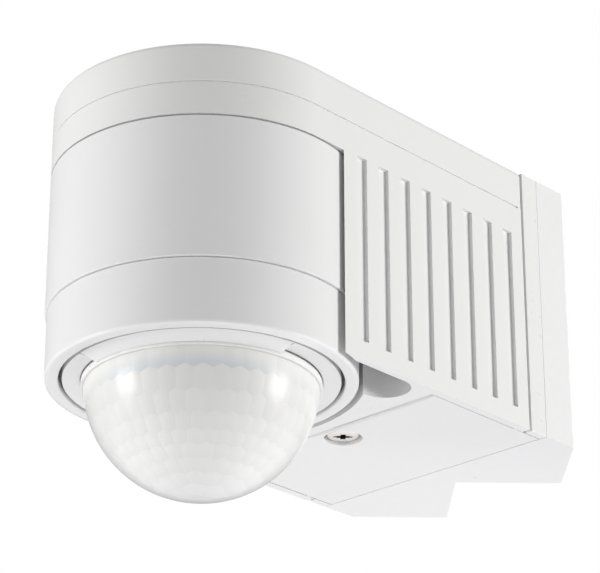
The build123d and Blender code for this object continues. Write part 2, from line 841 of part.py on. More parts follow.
def contact_blades():
    """Blades that carry the mains from the terminals up to the power board."""
    z = (tray_z - 5, z_power)
    return group([block((x - 1.4, x + 1.4), (pole_y() - 0.4, pole_y() + 0.4), z) for x in pole_places()])


def power_board():
    """Board with the power supply and the switching relay."""
    half = cavity_half - 4
    body = wide(half, (tray_front() + 1.8, tray_rear() - 0.5), (z_power, z_power + board_thickness))
    for side in (1, -1):
        z = (z_power - 1, z_power + board_thickness + 1)
        body -= post(pocket_radius + plate + body_gap, z, side * pocket_x, pocket_y)
    for x, y in board_corners():
        body -= post(1.3, (z_power - 1, z_power + board_thickness + 1), x, y)
    return body


def board_screws():
    """Screws that hold the power board on the tray's posts."""
    top = z_power + board_thickness
    screws = []
    for x, y in board_corners():
        screw = post(2.2, (top, top + 1.6), x, y) + post(1.0, (z_power - 4, top), x, y)
        screws.append(screw - Pos(x, y, top + 1.6) * Box(6, 0.6, 1.4))
    return group(screws)


def on_board(x, y, size):
    """Block that stands on the power board."""
    z = z_power + board_thickness
    centre = Pos(x, tray_front() + y, z + size[2] / 2)
    return centre * Box(*size)


def relay():
    """Sealed switching relay."""
    body = on_board(-14.5, 15.5, (13, 18, 15.5))
    return chamfer(body.edges().filter_by(Axis.Z), 0.8)


def mains_capacitor():
    """Film capacitor of the mains dropper."""
    body = on_board(14.0, 11.5, (11, 8, 14.0))
    return fillet(body.edges().filter_by(Axis.Z), 1.0)


def storage_capacitors():
    """Electrolytic capacitors of the power supply."""
    z = z_power + board_thickness
    cans = []
    for x in (8.4, 17.0):
        body = post(4.0, (z, z + 15), x, tray_front() + 21.0)
        cans.append(fillet(body.edges().sort_by(Axis.Z)[-1], 0.6))
    return group(cans)


def surge_absorber():
    """Disc varistor across the mains."""
    z = z_power + board_thickness
    body = Pos(-2.0, tray_front() + 21.0, z + 6.5) * Rot(0, 90, 0) * Cylinder(5.0, 3.6)
    return body + on_board(-2.0, 21.0, (3.0, 6.0, 3.0))


def fuse():
    """Small round fuse."""
    z = z_power + board_thickness
    return post(3.6, (z, z + 7), -2.0, tray_front() + 11.5)


def board_connector():
    """Socket on the power board for the signal lead."""
    y = head_y + seat_radius + plate + 6
    z = z_power + board_thickness
    return block((-4, 4), (y - 2.2, y + 2.2), (z, z + 7))


pieces = {
    "corner_bracket": corner_bracket(),
    "bracket_screws": bracket_screws(),
    "base_plate": base_plate(),
    "base_seal": base_seal(),
    "cable_grommet": cable_grommet(),
    "housing_shell": housing_shell(),
    "top_cap": top_cap(),
    "bottom_cover": bottom_cover(),
    "cover_screw": cover_screw(),
    "screw_washer": screw_washer(),
    "drum_shell": drum_shell(),
    "hub_clip": hub_clip(),
    "friction_washer": friction_washer(),
    "swivel_seal": swivel_seal(),
    "trim_ring": trim_ring(),
    "lens_carrier": lens_carrier(),
    "dial_cover": dial_cover(),
    "dome_lens": dome_lens(),
    "lens_gasket": lens_gasket(),
    "sensor_board": sensor_board(),
    "sensor_board_screws": sensor_board_screws(),
    "sensor_holder": sensor_holder(),
    "light_sensor": light_sensor(),
    "status_led": status_led(),
    "trimmers": trimmers(),
    "head_connector": head_connector(),
    "head_lead": head_lead(),
    "lead_clip": lead_clip(),
    "signal_lead": signal_lead(),
    "electronics_tray": electronics_tray(),
    "terminal_block": terminal_block(),
    "terminal_screws": terminal_screws(),
    "contact_blades": contact_blades(),
    "power_board": power_board(),
    "board_screws": board_screws(),
    "relay": relay(),
    "mains_capacitor": mains_capacitor(),
    "storage_capacitors": storage_capacitors(),
    "surge_absorber": surge_absorber(),
    "fuse": fuse(),
    "board_connector": board_connector(),
}
for number, place in enumerate(can_places(), start=1):
    pieces[f"heat_sensor_{number}"] = place * can()
for name, angle in zip(("time_dial", "daylight_dial", "range_dial"), dial_angles()):
    pieces[name] = setting_dial(angle)

os.makedirs("parts", exist_ok=True)
for node, piece in pieces.items():
    export_step(piece, os.path.join("parts", node + ".step"))
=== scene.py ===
import json
import math

import bmesh
import bpy
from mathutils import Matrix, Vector


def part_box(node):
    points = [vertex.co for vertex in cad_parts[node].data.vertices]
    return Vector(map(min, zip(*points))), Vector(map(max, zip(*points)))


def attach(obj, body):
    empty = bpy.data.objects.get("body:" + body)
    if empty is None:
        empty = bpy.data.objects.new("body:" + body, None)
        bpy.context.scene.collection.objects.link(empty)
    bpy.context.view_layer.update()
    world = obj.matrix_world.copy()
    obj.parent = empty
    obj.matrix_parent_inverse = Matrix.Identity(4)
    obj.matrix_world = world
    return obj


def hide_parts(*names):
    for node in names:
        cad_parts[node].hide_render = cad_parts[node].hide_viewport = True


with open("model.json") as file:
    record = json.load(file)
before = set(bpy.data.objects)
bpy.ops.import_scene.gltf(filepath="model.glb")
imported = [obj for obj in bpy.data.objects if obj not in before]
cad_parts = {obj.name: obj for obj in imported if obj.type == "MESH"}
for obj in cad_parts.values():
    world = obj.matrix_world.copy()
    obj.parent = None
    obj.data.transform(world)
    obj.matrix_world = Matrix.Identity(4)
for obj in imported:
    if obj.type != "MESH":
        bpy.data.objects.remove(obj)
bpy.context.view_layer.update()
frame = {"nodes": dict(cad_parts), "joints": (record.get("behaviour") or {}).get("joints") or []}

# Corner bracket: a hollow white moulding in ABS with a V notch for the outside corner of a wall.
# Its faces at 45 degrees lie on the wall, and the base plate is screwed to its open front.
mm = 0.001
nodes = frame["nodes"]
scene = bpy.context.scene


def put(tree, kind, settings=None, inputs=None):
    """Adds a node, sets it up, and feeds its sockets from values or from other sockets."""
    made = tree.nodes.new(kind)
    for name, value in (settings or {}).items():
        setattr(made, name, value)
    for key, value in (inputs or {}).items():
        if isinstance(value, bpy.types.NodeSocket):
            tree.links.new(value, made.inputs[key])
        else:
            made.inputs[key].default_value = value
    return made


def sum_of(tree, operation, *terms):
    """Output of one math node."""
    return put(tree, "ShaderNodeMath", {"operation": operation}, dict(enumerate(terms))).outputs[0]


def new_group(name, kind, inputs, outputs):
    """Node group with named sockets, and its input and output nodes."""
    group = bpy.data.node_groups.new(name, kind)
    for title, socket, value in inputs:
        made = group.interface.new_socket(title, in_out="INPUT", socket_type=socket)
        if value is not None:
            made.default_value = value
    for title, socket in outputs:
        group.interface.new_socket(title, in_out="OUTPUT", socket_type=socket)
    return group, group.nodes.new("NodeGroupInput").outputs, group.nodes.new("NodeGroupOutput").inputs


def mixed(tree, factor, first, second, blend="MIX"):
    """Colour output of a mix between two colours."""
    kind = {"data_type": "RGBA", "blend_type": blend}
    return put(tree, "ShaderNodeMix", kind, {0: factor, 6: first, 7: second}).outputs[2]


def banded(tree, value, low, high, start=0.0, end=1.0):
    """A value mapped from one range to another, and kept inside it."""
    made = put(tree, "ShaderNodeMapRange", {}, {0: value, 1: low, 2: high, 3: start, 4: end})
    return made.outputs[0]


def build_moulded_grain():
    """Surface of an injection moulding: spark-eroded grain, flow mottle and a few specks of dust."""
    floats = [("Grain Size", 0.35), ("Mottle", 0.02), ("Specks", 0.3), ("Roughness", 0.4)]
    sockets = [("Colour", "NodeSocketColor", (0.8, 0.8, 0.8, 1))]
    sockets += [(title, "NodeSocketFloat", value) for title, value in floats]
    outputs = [("Colour", "NodeSocketColor"), ("Roughness", "NodeSocketFloat"), ("Height", "NodeSocketFloat")]
    group, given, result = new_group("moulded_grain", "ShaderNodeTree", sockets, outputs)
    place = group.nodes.new("ShaderNodeTexCoord").outputs["Object"]
    scale = sum_of(group, "DIVIDE", 1000.0, given["Grain Size"])
    grain = put(group, "ShaderNodeTexNoise", {}, {0: place, "Scale": scale, "Detail": 3.0, "Roughness": 0.6})
    mottle = put(group, "ShaderNodeTexNoise", {}, {0: place, "Scale": 55.0, "Detail": 4.0, "Roughness": 0.55})
    flow = put(group, "ShaderNodeTexNoise", {}, {0: place, "Scale": 14.0, "Detail": 2.0, "Distortion": 1.2})
    shade = sum_of(group, "ADD", mottle.outputs["Fac"], flow.outputs["Fac"])
    shade = sum_of(group, "MULTIPLY", sum_of(group, "SUBTRACT", shade, 1.0), given["Mottle"])
    level = sum_of(group, "ADD", shade, 1.0)
    toned = put(group, "ShaderNodeHueSaturation", {}, {"Color": given["Colour"], "Value": level})
    cells = put(group, "ShaderNodeTexVoronoi", {}, {"Vector": place, "Scale": 160.0, "Randomness": 1.0})
    chosen = put(group, "ShaderNodeSeparateColor", {}, {"Color": cells.outputs["Color"]}).outputs["Red"]
    size = sum_of(group, "MULTIPLY", banded(group, chosen, 0.93, 1.0), 0.055)
    speck = banded(group, sum_of(group, "SUBTRACT", cells.outputs["Distance"], size), 0.012, 0.0)
    speck = sum_of(group, "MULTIPLY", speck, sum_of(group, "GREATER_THAN", chosen, 0.93))
    speck = sum_of(group, "MULTIPLY", speck, given["Specks"])
    dusty = mixed(group, speck, toned.outputs["Color"], (0.24, 0.21, 0.18, 1))
    group.links.new(dusty, result["Colour"])
    dulled = sum_of(group, "MULTIPLY", sum_of(group, "SUBTRACT", mottle.outputs["Fac"], 0.5), 0.12)
    group.links.new(sum_of(group, "ADD", given["Roughness"], dulled), result["Roughness"])
    group.links.new(grain.outputs["Fac"], result["Height"])
    return group


def build_edge_wear_and_highlight():
    """Mask of the outer edges, where handling polishes a moulding or wears a plating; the materials also use
    it for a painted edge highlight that lightens the colour there.
    """
    outputs = [("Wear And Highlight", "NodeSocketFloat")]
    sockets = [("Reach", "NodeSocketFloat", 0.5), ("Break Up", "NodeSocketFloat", 0.6)]
    group, given, result = new_group("edge_wear_and_highlight", "ShaderNodeTree", sockets, outputs)
    place = group.nodes.new("ShaderNodeTexCoord").outputs["Object"]
    curve = group.nodes.new("ShaderNodeNewGeometry").outputs["Pointiness"]
    noise = put(group, "ShaderNodeTexNoise", {}, {0: place, "Scale": 420.0, "Detail": 5.0}).outputs["Fac"]
    sharpest = sum_of(group, "SUBTRACT", 0.62, sum_of(group, "MULTIPLY", given["Reach"], 0.1))
    edge = banded(group, curve, 0.5, sharpest)
    patches = banded(group, noise, sum_of(group, "SUBTRACT", 0.75, given["Break Up"]), 0.7)
    group.links.new(sum_of(group, "MULTIPLY", edge, patches), result["Wear And Highlight"])
    return group


moulded_grain = build_moulded_grain()
edge_wear_and_highlight = build_edge_wear_and_highlight()


def new_material(name):
    """Empty material with a Principled surface; gives the material, its tree and the surface node."""
    material = bpy.data.materials.new(name)
    material.use_nodes = True
    tree = material.node_tree
    return material, tree, tree.nodes["Principled BSDF"]


def bumped(tree, surface, height, distance, strength=1.0):
    """Puts a height on a surface's normal."""
    bump = put(tree, "ShaderNodeBump", {}, {"Height": height, "Distance": distance, "Strength": strength})
    tree.links.new(bump.outputs["Normal"], surface.inputs["Normal"])


def moulded_plastic(name, colour, roughness=0.42, grain=0.35, relief=0.006, mottle=0.02, specks=0.3,
                    sheen=0.5):
    """Injection-moulded plastic with grain, flow mottle, dust specks and rubbed edges, which are polished and
    carry a painted highlight that lightens their colour.
    """
    material, tree, surface = new_material(name)
    values = {"Colour": (*colour, 1), "Roughness": roughness, "Grain Size": grain}
    values.update({"Mottle": mottle, "Specks": specks})
    skin = put(tree, "ShaderNodeGroup", {"node_tree": moulded_grain}, values).outputs
    edge_mask_settings = {"Reach": 0.4, "Break Up": 0.45}
    edge_wear_and_highlight_mask = put(tree, "ShaderNodeGroup", {"node_tree": edge_wear_and_highlight}, edge_mask_settings).outputs["Wear And Highlight"]
    # Painted highlight: the edge mask lightens the colour towards white; the polish below in the roughness is
    # real wear.
    paler = mixed(tree, sum_of(tree, "MULTIPLY", edge_wear_and_highlight_mask, 0.12), skin["Colour"], (1, 1, 1, 1))
    tree.links.new(paler, surface.inputs["Base Color"])
    polished = sum_of(tree, "SUBTRACT", skin["Roughness"], sum_of(tree, "MULTIPLY", edge_wear_and_highlight_mask, 0.12))
    tree.links.new(polished, surface.inputs["Roughness"])
    surface.inputs["Specular IOR Level"].default_value = sheen
    bumped(tree, surface, skin["Height"], relief * mm)
    return material


def merged_copy(node, name):
    """A CAD node's shape as a new object, with its corners joined."""
    work = bmesh.new()
    work.from_mesh(nodes[node].data)
    bmesh.ops.remove_doubles(work, verts=work.verts, dist=0.001 * mm)
    mesh = bpy.data.meshes.new(name)
    work.to_mesh(mesh)
    work.free()
    piece = bpy.data.objects.new(name, mesh)
    scene.collection.objects.link(piece)
    return piece


def made_plain(piece):
    """Turns a piece's modifiers into its mesh."""
    graph = bpy.context.evaluated_depsgraph_get()
    mesh = bpy.data.meshes.new_from_object(piece.evaluated_get(graph), depsgraph=graph)
    piece.modifiers.clear()
    piece.data = mesh
    return piece


def soften(piece, width, segments=2, clamp=False):
    """Rounds a moulding's edges by the radius that its tool has."""
    bevel = piece.modifiers.new("tool_radius", "BEVEL")
    bevel.width = width
    bevel.segments = segments
    bevel.limit_method = "ANGLE"
    bevel.angle_limit = math.radians(33)
    bevel.use_clamp_overlap = clamp
    bevel.miter_outer = "MITER_ARC"
    made_plain(piece)
    piece.data.shade_smooth()
    piece.data.set_sharp_from_angle(angle=math.radians(31))
    weighted = piece.modifiers.new("flat_faces_stay_flat", "WEIGHTED_NORMAL")
    weighted.keep_sharp = True
    return made_plain(piece)


def fit(piece, material, body, slot, *replaced):
    """Gives a finished piece its material and its body, and hides the CAD nodes that it stands for; the slot
    is not used.
    """
    piece.data.materials.clear()
    piece.data.materials.append(material)
    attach(piece, body)
    if replaced:
        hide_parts(*replaced)
    return piece


bracket_white = moulded_plastic("bracket_white", (0.83, 0.83, 0.835), roughness=0.45, grain=0.4)
bracket = soften(merged_copy("corner_bracket", "bracket_moulding"), 0.45 * mm, clamp=True)
fit(bracket, bracket_white, "housing", "bracket_plastic", "corner_bracket")

# Base plate: a white ABS plate with a rim that goes inside the housing and keeps rain off the wiring.
# It closes the bracket's open front.
casing_white = moulded_plastic("casing_white", (0.83, 0.83, 0.83), roughness=0.36, specks=0.12)
plate = soften(merged_copy("base_plate", "base_plate_moulding"), 0.25 * mm)
fit(plate, casing_white, "housing", "white_plastic", "base_plate")

# Bracket screws: four zinc-plated pan-head screws that hold the base plate to the bracket's posts.
# Each is cold-headed with a cross recess, and its thread is rolled.


def build_drawn_metal():
    """Plated or drawn metal: fine lines along the draw, dull patches and a little tarnish."""
    sockets = [("Colour", "NodeSocketColor", (0.6, 0.6, 0.6, 1)), ("Roughness", "NodeSocketFloat", 0.3)]
    sockets += [("Stretch", "NodeSocketVector", (1, 1, 8)), ("Tarnish", "NodeSocketFloat", 0.3)]
    outputs = [("Colour", "NodeSocketColor"), ("Roughness", "NodeSocketFloat"), ("Height", "NodeSocketFloat")]
    group, given, result = new_group("drawn_metal", "ShaderNodeTree", sockets, outputs)
    place = group.nodes.new("ShaderNodeTexCoord").outputs["Object"]
    mapped = put(group, "ShaderNodeMapping", {}, {"Vector": place, "Scale": given["Stretch"]}).outputs[0]
    lines = put(group, "ShaderNodeTexNoise", {}, {0: mapped, "Scale": 1500.0, "Detail": 4.0}).outputs["Fac"]
    patch = put(group, "ShaderNodeTexNoise", {}, {0: place, "Scale": 380.0, "Detail": 5.0}).outputs["Fac"]
    dull = sum_of(group, "MULTIPLY", banded(group, patch, 0.45, 0.7), given["Tarnish"])
    darker = mixed(group, 1.0, given["Colour"], (0.55, 0.5, 0.42, 1), "MULTIPLY")
    group.links.new(mixed(group, dull, given["Colour"], darker), result["Colour"])
    uneven = sum_of(group, "MULTIPLY", sum_of(group, "SUBTRACT", lines, 0.5), 0.2)
    uneven = sum_of(group, "ADD", uneven, sum_of(group, "MULTIPLY", dull, 0.3))
    rough = sum_of(group, "ADD", given["Roughness"], uneven)
    group.links.new(rough, result["Roughness"])
    group.links.new(lines, result["Height"])
    return group


drawn_metal = build_drawn_metal()


def metal(name, colour, roughness=0.3, stretch=(1, 1, 8), tarnish=0.3, relief=0.004):
    """Bare or plated metal with drawing lines, tarnish and rubbed edges, whose lighter colour is partly wear
    and partly a painted highlight.
    """
    material, tree, surface = new_material(name)
    values = {"Colour": (*colour, 1), "Roughness": roughness, "Stretch": stretch, "Tarnish": tarnish}
    skin = put(tree, "ShaderNodeGroup", {"node_tree": drawn_metal}, values).outputs
    edge_mask_settings = {"Reach": 0.6, "Break Up": 0.5}
    edge_wear_and_highlight_mask = put(tree, "ShaderNodeGroup", {"node_tree": edge_wear_and_highlight}, edge_mask_settings).outputs["Wear And Highlight"]
    # Wear and painted highlight: the edge mask brightens the metal's colour on convex edges.
    bright = mixed(tree, sum_of(tree, "MULTIPLY", edge_wear_and_highlight_mask, 0.5), skin["Colour"], (0.85, 0.83, 0.8, 1))
    tree.links.new(bright, surface.inputs["Base Color"])
    tree.links.new(skin["Roughness"], surface.inputs["Roughness"])
    surface.inputs["Metallic"].default_value = 1.0
    bumped(tree, surface, skin["Height"], relief * mm)
    return material


def build_screws():
    """Screws at the input's points: a rounded head, a slot and a cross, a shank and a rolled thread."""
    floats = ["Head Radius", "Head Height", "Edge Radius", "Shank Radius", "Shank Length", "Thread Pitch"]
    floats += ["Slot Length", "Slot Width", "Cross Length", "Cross Width", "Drive Depth"]
    sockets = [("Geometry", "NodeSocketGeometry", None), ("Turn", "NodeSocketVector", None)]
    sockets += [(title, "NodeSocketFloat", 0.001) for title in floats]
    sockets += [("Material", "NodeSocketMaterial", None)]
    outputs = [("Geometry", "NodeSocketGeometry")]
    tree, given, result = new_group("pan_head_screws", "GeometryNodeTree", sockets, outputs)
    place = tree.nodes.new("GeometryNodeInputPosition").outputs[0]
    height = put(tree, "ShaderNodeSeparateXYZ", {}, {0: place}).outputs["Z"]

    def upright(low, high, steps, radius, sides=40):
        """Turned body along Z with a radius that may change with height."""
        ends = [put(tree, "ShaderNodeCombineXYZ", {}, {"Z": z}).outputs[0] for z in (low, high)]
        ends = {"Start": ends[0], "End": ends[1]}
        line = put(tree, "GeometryNodeCurvePrimitiveLine", {}, ends).outputs[0]
        line = put(tree, "GeometryNodeResampleCurve", {}, {"Curve": line, "Count": steps}).outputs[0]
        rim = {"Resolution": sides, "Radius": 1.0}
        circle = put(tree, "GeometryNodeCurvePrimitiveCircle", {}, rim).outputs[0]
        values = {"Curve": line, "Profile Curve": circle, "Scale": radius, "Fill Caps": True}
        return put(tree, "GeometryNodeCurveToMesh", {}, values).outputs[0]

    edge = given["Edge Radius"]
    short = sum_of(tree, "MAXIMUM", sum_of(tree, "SUBTRACT", edge, height), 0.0)
    squares = [sum_of(tree, "MULTIPLY", length, length) for length in (edge, short)]
    chord = sum_of(tree, "SUBTRACT", *squares)
    drop = sum_of(tree, "SUBTRACT", edge, sum_of(tree, "SQRT", sum_of(tree, "MAXIMUM", chord, 0.0)))
    head = upright(0.0, given["Head Height"], 14, sum_of(tree, "SUBTRACT", given["Head Radius"], drop))

    def recess(length, width, turn):
        """Straight cut across the head."""
        size = put(tree, "ShaderNodeCombineXYZ", {}, {"X": length, "Y": width}).outputs[0]
        deep = put(tree, "ShaderNodeVectorMath", {"operation": "ADD"}, {0: size})
        double_depth = sum_of(tree, "MULTIPLY", given["Drive Depth"], 2.0)
        depth = put(tree, "ShaderNodeCombineXYZ", {}, {"Z": double_depth})
        tree.links.new(depth.outputs[0], deep.inputs[1])
        bar = put(tree, "GeometryNodeMeshCube", {}, {"Size": deep.outputs[0]}).outputs[0]
        return put(tree, "GeometryNodeTransform", {}, {0: bar, "Rotation": (0, 0, turn)}).outputs[0]

    slanted = math.radians(45)
    drive = [recess(given["Slot Length"], given["Slot Width"], slanted)]
    for side in (0, math.pi / 2):
        drive.append(recess(given["Cross Length"], given["Cross Width"], slanted + side))
    cut = put(tree, "GeometryNodeMeshBoolean", {"operation": "DIFFERENCE", "solver": "EXACT"}, {0: head})
    for bar in drive:
        tree.links.new(bar, cut.inputs[1])
    tip = sum_of(tree, "ADD", given["Head Height"], given["Shank Length"])
    under = sum_of(tree, "SUBTRACT", tip, height)
    point = sum_of(tree, "ADD", under, sum_of(tree, "MULTIPLY", edge, 0.3))
    taper = sum_of(tree, "MINIMUM", given["Shank Radius"], point)
    start = sum_of(tree, "SUBTRACT", given["Head Height"], sum_of(tree, "MULTIPLY", edge, 0.1))
    shank = upright(start, tip, 24, taper, 24)
    turns = sum_of(tree, "DIVIDE", given["Shank Length"], given["Thread Pitch"])
    rise = sum_of(tree, "SUBTRACT", given["Shank Length"], given["Thread Pitch"])
    helix_values = {"Resolution": 18, "Rotations": turns, "Height": rise}
    helix_values.update({"Start Radius": given["Shank Radius"], "End Radius": given["Shank Radius"]})
    helix = put(tree, "GeometryNodeCurveSpiral", {}, helix_values).outputs[0]
    ridge = put(tree, "GeometryNodeCurvePrimitiveCircle", {}, {"Resolution": 3, "Radius": 1.0}).outputs[0]
    ridge_size = sum_of(tree, "MULTIPLY", given["Thread Pitch"], 0.24)
    thread_values = {"Curve": helix, "Profile Curve": ridge, "Scale": ridge_size, "Fill Caps": True}
    thread = put(tree, "GeometryNodeCurveToMesh", {}, thread_values).outputs[0]
    lift = put(tree, "ShaderNodeCombineXYZ", {}, {"Z": given["Head Height"]}).outputs[0]
    thread = put(tree, "GeometryNodeTransform", {}, {0: thread, "Translation": lift}).outputs[0]
    joined = tree.nodes.new("GeometryNodeJoinGeometry")
    for part in (thread, shank, cut.outputs[0]):
        tree.links.new(part, joined.inputs[0])
    set_values = {"Points": given["Geometry"], "Instance": joined.outputs[0], "Rotation": given["Turn"]}
    placed = put(tree, "GeometryNodeInstanceOnPoints", {}, set_values).outputs[0]
    real = put(tree, "GeometryNodeRealizeInstances", {}, {0: placed}).outputs[0]
    final = put(tree, "GeometryNodeSetMaterial", {}, {0: real, "Material": given["Material"]}).outputs[0]
    tree.links.new(final, result["Geometry"])
    return tree


screw_tree = build_screws()


def grown(name, tree, start, values):
    """Runs a geometry tree on a starting mesh with its named inputs, and keeps the plain mesh."""
    piece = bpy.data.objects.new(name, start)
    scene.collection.objects.link(piece)
    modifier = piece.modifiers.new(name, "NODES")
    modifier.node_group = tree
    known = {item.name: item.identifier for item in tree.interface.items_tree if item.in_out == "INPUT"}
    for title, value in values.items():
        modifier[known[title]] = value
    return made_plain(piece)


def separate_boxes(node):
    """Lowest and highest corners of each separate solid in a CAD node."""
    work = bmesh.new()
    work.from_mesh(nodes[node].data)
    bmesh.ops.remove_doubles(work, verts=work.verts, dist=0.001 * mm)
    unseen = set(work.verts)
    boxes = []
    while unseen:
        front = [next(iter(unseen))]
        solid = set(front)
        while front:
            for edge in front.pop().link_edges:
                for vertex in edge.verts:
                    if vertex not in solid:
                        solid.add(vertex)
                        front.append(vertex)
        unseen -= solid
        low = Vector([min(vertex.co[axis] for vertex in solid) for axis in range(3)])
        high = Vector([max(vertex.co[axis] for vertex in solid) for axis in range(3)])
        boxes.append((low, high))
    work.free()
    return sorted(boxes, key=lambda pair: (round(pair[0].x, 5), round(pair[0].y, 5), round(pair[0].z, 5)))


def screws(name, node, axis, body, head, shank, drive, material):
    """Turns a CAD node's plain screws into finished ones; the sizes are in millimetres."""
    way = Vector(axis)
    points = []
    for low, high in separate_boxes(node):
        middle = (low + high) / 2
        outer = low if sum(way) > 0 else high
        points.append(middle - way * way.dot(middle) + way * way.dot(outer))
    start = bpy.data.meshes.new(name + "_places")
    start.from_pydata(points, [], [])
    titles = ["Head Radius", "Head Height", "Edge Radius", "Shank Radius", "Shank Length", "Thread Pitch"]
    titles += ["Slot Length", "Slot Width", "Cross Length", "Cross Width", "Drive Depth"]
    values = {title: size * mm for title, size in zip(titles, head + shank + drive)}
    values["Turn"] = Vector((0, 0, 1)).rotation_difference(way).to_euler()
    values["Material"] = material
    piece = grown(name, screw_tree, start, values)
    piece.data.shade_smooth()
    piece.data.set_sharp_from_angle(angle=math.radians(35))
    return fit(piece, material, body, "plated_steel", node)


plated = metal("zinc_plate", (0.62, 0.61, 0.58), roughness=0.28)
screws("bracket_fixing_screws", "bracket_screws", (0, 1, 0), "housing",
       (2.9, 2.0, 0.9), (1.02, 12.1, 0.9), (5.0, 0.6, 3.2, 0.9, 1.0), plated)

# Base seal and cable grommet: moulded black EPDM rubber, one in the joint between the housing and the base
# plate, the other pushed into the base plate's hole where the mains cable comes in.


def finish_nodes(material, *names):
    """Gives CAD pieces whose shape is right their finish."""
    for name in names:
        for slot in nodes[name].material_slots:
            slot.material = material


black_rubber = moulded_plastic("black_rubber", (0.035, 0.034, 0.033), roughness=0.7, grain=0.6, relief=0.02,
                               mottle=0.12, specks=0.5, sheen=0.3)
finish_nodes(black_rubber, "base_seal", "cable_grommet")

# Housing shell: arm, drum seat and front band in one white ABS moulding with eight grooves down each side.
# The tool's edges leave radii of a quarter millimetre, and the cap's joint runs round its top.
shell = soften(merged_copy("housing_shell", "arm_moulding"), 0.22 * mm, clamp=True)
fit(shell, casing_white, "housing", "white_plastic", "housing_shell")

# Top cap: the lid of the arm in the same white ABS, with a tongue inside the shell's top edge.
cap = soften(merged_copy("top_cap", "cap_moulding"), 0.2 * mm)
fit(cap, casing_white, "housing", "white_plastic", "top_cap")

# Bottom cover: a white ABS plate under the wiring space, flush with the base plate.
# One nickel-plated screw with a slot and a cross holds it, in a sunk well and on a rubber washer.
cover = soften(merged_copy("bottom_cover", "cover_moulding"), 0.2 * mm)
fit(cover, casing_white, "housing", "white_plastic", "bottom_cover")
nickel = metal("nickel_plate", (0.93, 0.9, 0.86), roughness=0.3, tarnish=0.05)
cover_screw = screws("cover_fixing_screw", "cover_screw", (0, 0, 1), "housing",
                     (4.2, 2.3, 1.0), (1.75, 16.0, 1.0), (4.8, 0.75, 3.2, 1.35, 2.0), nickel)
# Painted shade: the faces of the slot and cross recess get a near-black material, standing in for the shade
# inside the deep recess.
drive_painted_shade = metal("drive_recess_painted_shade", (0.06, 0.05, 0.045), roughness=0.7, tarnish=0.8)
cover_screw.data.materials.append(drive_painted_shade)
screw_low, screw_high = [Vector(corner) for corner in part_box("cover_screw")]
for face in cover_screw.data.polygons:
    off_axis = (face.center - (screw_low + screw_high) / 2).to_2d().length
    if 0.4 * mm < face.center.z - screw_low.z < 2.1 * mm and off_axis < 2.6 * mm:
        face.material_index = 1
finish_nodes(black_rubber, "screw_washer")

# Drum: the upper half of the sensor head, a white ABS cup that hangs and turns on the arm's hub.
# A spring-steel clip carries it on a rubber washer, and a rubber ring seals the joint above.
drum_white = moulded_plastic("drum_white", (0.83, 0.83, 0.835), roughness=0.34)
drum = soften(merged_copy("drum_shell", "drum_moulding"), 0.25 * mm)
fit(drum, drum_white, "head", "white_plastic", "drum_shell")
spring_steel = metal("spring_steel", (0.2, 0.19, 0.19), roughness=0.35, tarnish=0.6)
finish_nodes(spring_steel, "hub_clip")
finish_nodes(black_rubber, "friction_washer", "swivel_seal")

# Trim ring: the lower half of the head in white ABS, locked in the drum by three lugs.
# Its inner flange carries the lens cup.
ring = soften(merged_copy("trim_ring", "trim_ring_moulding"), 0.45 * mm, segments=3)
fit(ring, drum_white, "trim_ring", "white_plastic", "trim_ring")

# Lens carrier: the white ABS cup that the lens and the sensor board sit in; only its flat ring shows.
# A black foam ring is stuck under its shelf, where it rests on the trim ring.
swivel = next(Vector(joint["pos_m"]) for joint in frame["joints"] if joint["name"] == "head_swivel")
carrier = soften(merged_copy("lens_carrier", "carrier_moulding"), 0.12 * mm)
fit(carrier, drum_white, "head", "white_plastic", "lens_carrier")


def turned(name, section, around=360):
    """Closed shape turned about the swivel axis; its section ends on the axis or where it began."""
    work = bmesh.new()
    rings = []
    for radius, height in section:
        if radius < 1e-7:
            rings.append([work.verts.new((swivel.x, swivel.y, height))])
            continue
        ring = []
        for step in range(around):
            turn = 2 * math.pi * step / around
            x, y = swivel.x + radius * math.cos(turn), swivel.y + radius * math.sin(turn)
            ring.append(work.verts.new((x, y, height)))
        rings.append(ring)
    for low, high in zip(rings, rings[1:]):
        for step in range(around):
            after = (step + 1) % around
            corners = [low[step % len(low)], low[after % len(low)]]
            corners += [high[after % len(high)], high[step % len(high)]]
            work.faces.new(list(dict.fromkeys(corners)))
    bmesh.ops.remove_doubles(work, verts=work.verts, dist=0.001 * mm)
    bmesh.ops.recalc_face_normals(work, faces=work.faces)
    mesh = bpy.data.meshes.new(name)
    work.to_mesh(mesh)
    work.free()
    return mesh


foam_low, foam_high = -34.5 * mm, -34.15 * mm
foam_inner, foam_outer = 33.34 * mm, 34.16 * mm
foam_section = [(foam_inner, foam_low), (foam_outer, foam_low), (foam_outer, foam_high)]
foam_section += [(foam_inner, foam_high), (foam_inner, foam_low)]
foam = bpy.data.objects.new("shelf_foam_ring", turned("shelf_foam_ring", foam_section))
scene.collection.objects.link(foam)
fit(foam, black_rubber, "head", "rubber")

# Dial cover: a thin white ABS arc with a slope down to the lens, snapped over the three setting dials.
dial_lid = soften(merged_copy("dial_cover", "dial_cover_moulding"), 0.12 * mm)
fit(dial_lid, drum_white, "dial_cover", "white_plastic", "dial_cover")

# Dome lens: a half sphere of milky polyethylene, glossy outside, with rows of lenslets moulded inside.
# Its lip shows round the rim, and a flange above the carrier's shelf holds it down on a rubber gasket.
lens_radius = 28.2 * mm
lens_wall = 0.9 * mm
lens_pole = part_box("dome_lens")[0].z
lens_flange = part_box("dome_lens")[1]
lens_centre = Vector((swivel.x, swivel.y, lens_pole + lens_radius))
row_edges = (87.0, 77.4, 66.3, 55.8, 47.3, 39.7, 31.7, 22.9, 13.5, 0.0)
row_pitches = (9.2, 9.0, 8.8, 9.6, 10.0, 12.9, 16.4, 24.0, 60.0)
# Azimuth in degrees of the side where the lens gets its painted bluish shade.
painted_shade_side = 36.3 + 360
row_starts = (0.8, 6.0, 2.4, 2.0, 6.4, 4.8, 9.0, 3.0, 0.0)


